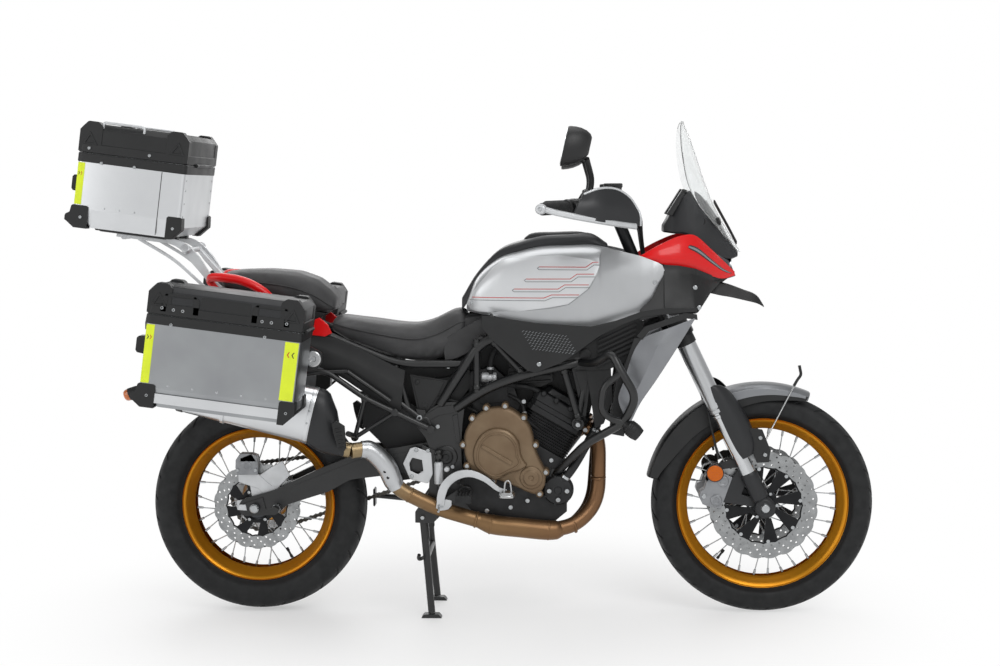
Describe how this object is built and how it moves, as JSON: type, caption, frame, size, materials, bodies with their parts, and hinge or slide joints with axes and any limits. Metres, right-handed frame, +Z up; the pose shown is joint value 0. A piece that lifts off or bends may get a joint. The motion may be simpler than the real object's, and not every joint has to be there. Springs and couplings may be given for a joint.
{
  "type": "adventure motorcycle",
  "caption": "Adventure motorcycle with spoked wheels, trellis frame, tall screen, aluminium side boxes and top box; steering, wheels, stands and lids move.",
  "frame": {"origin": "on the floor, under the middle of the length and width, with the bike upright on its centre stand", "axes": "+X points ahead, +Y to the rider's left, +Z up"},
  "size_m": [2.3594, 0.988, 1.4666],
  "materials": {
    "tyre_rubber": "moulded rubber",
    "gold_anodised_rim": "gold anodised, satin",
    "hub_and_spokes": "satin metal",
    "disc_steel": "ground steel",
    "chain_steel": "oiled steel",
    "frame_paint": "black satin powder coat",
    "engine_paint": "cast, painted black",
    "bronze_cover": "cast, bronze paint",
    "exhaust_steel": "heat-tinted steel",
    "muffler_steel": "brushed steel",
    "tank_paint": "silver metallic paint",
    "dark_paint": "dark grey satin paint",
    "black_plastic": "grained black plastic",
    "silver_paint": "silver painted plastic",
    "red_paint": "gloss red paint",
    "clear_screen": "clear polycarbonate",
    "lamp_lens": "clear lens",
    "red_lens": "red lens",
    "seat_cover": "black grained vinyl",
    "box_aluminium": "brushed aluminium",
    "fork_silver": "silver anodised",
    "chrome_tube": "hard chrome",
    "plain_aluminium": "bare aluminium"
  },
  "bodies": {
    "root": {"drive_chain": "chain_steel", "frame": "frame_paint", "subframe": "frame_paint", "engine_block": "engine_paint", "cylinders": "engine_paint", "engine_covers": "bronze_cover", "swingarm": "frame_paint", "radiator": "black_plastic", "exhaust_pipes": "exhaust_steel", "muffler": "muffler_steel", "rear_shock": "frame_paint", "fuel_tank": "tank_paint", "tank_cover": "dark_paint", "rider_seat": "seat_cover", "pillion_seat": "seat_cover", "side_panels": "black_plastic", "radiator_shrouds": "dark_paint", "nose_cowl": "red_paint", "headlamp": "lamp_lens", "screen_cowl": "black_plastic", "windscreen": "clear_screen", "beak": "black_plastic", "fairing_bracket": "frame_paint", "pannier_left": "box_aluminium", "pannier_right": "box_aluminium", "top_box": "box_aluminium", "luggage_rack": "plain_aluminium", "grab_rails": "red_paint", "pannier_frames": "frame_paint", "crash_bars": "frame_paint", "foot_controls": "plain_aluminium", "rear_mudguard": "black_plastic", "tail_lamp": "red_lens", "rear_caliper": "frame_paint"},
    "steering": {"fork_clamps": "frame_paint", "fork_tubes": "fork_silver", "fork_legs": "chrome_tube", "front_mudguard": "silver_paint", "front_calipers": "frame_paint", "handlebar": "frame_paint", "bar_controls": "black_plastic", "hand_guards": "black_plastic", "mirrors": "black_plastic"},
    "front_wheel": {"front_tyre": "tyre_rubber", "front_rim": "gold_anodised_rim", "front_hub": "hub_and_spokes", "front_discs": "disc_steel"},
    "rear_wheel": {"rear_tyre": "tyre_rubber", "rear_rim": "gold_anodised_rim", "rear_hub": "hub_and_spokes", "rear_disc": "disc_steel"},
    "centre_stand": {"centre_stand": "frame_paint"},
    "side_stand": {"side_stand": "frame_paint"},
    "pannier_left_lid": {"pannier_left_lid": "box_aluminium"},
    "pannier_right_lid": {"pannier_right_lid": "box_aluminium"},
    "top_box_lid": {"top_box_lid": "box_aluminium"}
  },
  "joints": [
    {"name": "steering", "type": "hinge", "parent": "root", "child": "steering", "pos_m": [0.53512, 0, 0.93], "axis": [-0.4305, 0, 0.9026], "range_deg": [-35, 35]},
    {"name": "front_wheel", "type": "hinge", "parent": "steering", "child": "front_wheel", "pos_m": [0.857, 0, 0.3295], "axis": [0, 1, 0], "continuous": true},
    {"name": "rear_wheel", "type": "hinge", "parent": "root", "child": "rear_wheel", "pos_m": [-0.648, 0, 0.326], "axis": [0, 1, 0], "continuous": true},
    {"name": "centre_stand", "type": "hinge", "parent": "root", "child": "centre_stand", "pos_m": [-0.15, 0, 0.3], "axis": [0, 1, 0], "range_deg": [0, 75]},
    {"name": "side_stand", "type": "hinge", "parent": "root", "child": "side_stand", "pos_m": [-0.04, 0.17, 0.292], "axis": [0, -1, 0], "range_deg": [0, 95]},
    {"name": "pannier_left_lid", "type": "hinge", "parent": "root", "child": "pannier_left_lid", "pos_m": [-0.44173, 0.38, 0.87309], "axis": [0, 1, 0], "range_deg": [0, 100]},
    {"name": "pannier_right_lid", "type": "hinge", "parent": "root", "child": "pannier_right_lid", "pos_m": [-0.44173, -0.38, 0.87309], "axis": [0, 1, 0], "range_deg": [0, 100]},
    {"name": "top_box_lid", "type": "hinge", "parent": "root", "child": "top_box_lid", "pos_m": [-0.80875, 0, 1.3361], "axis": [0, 1, 0], "range_deg": [0, 95]}
  ]
}
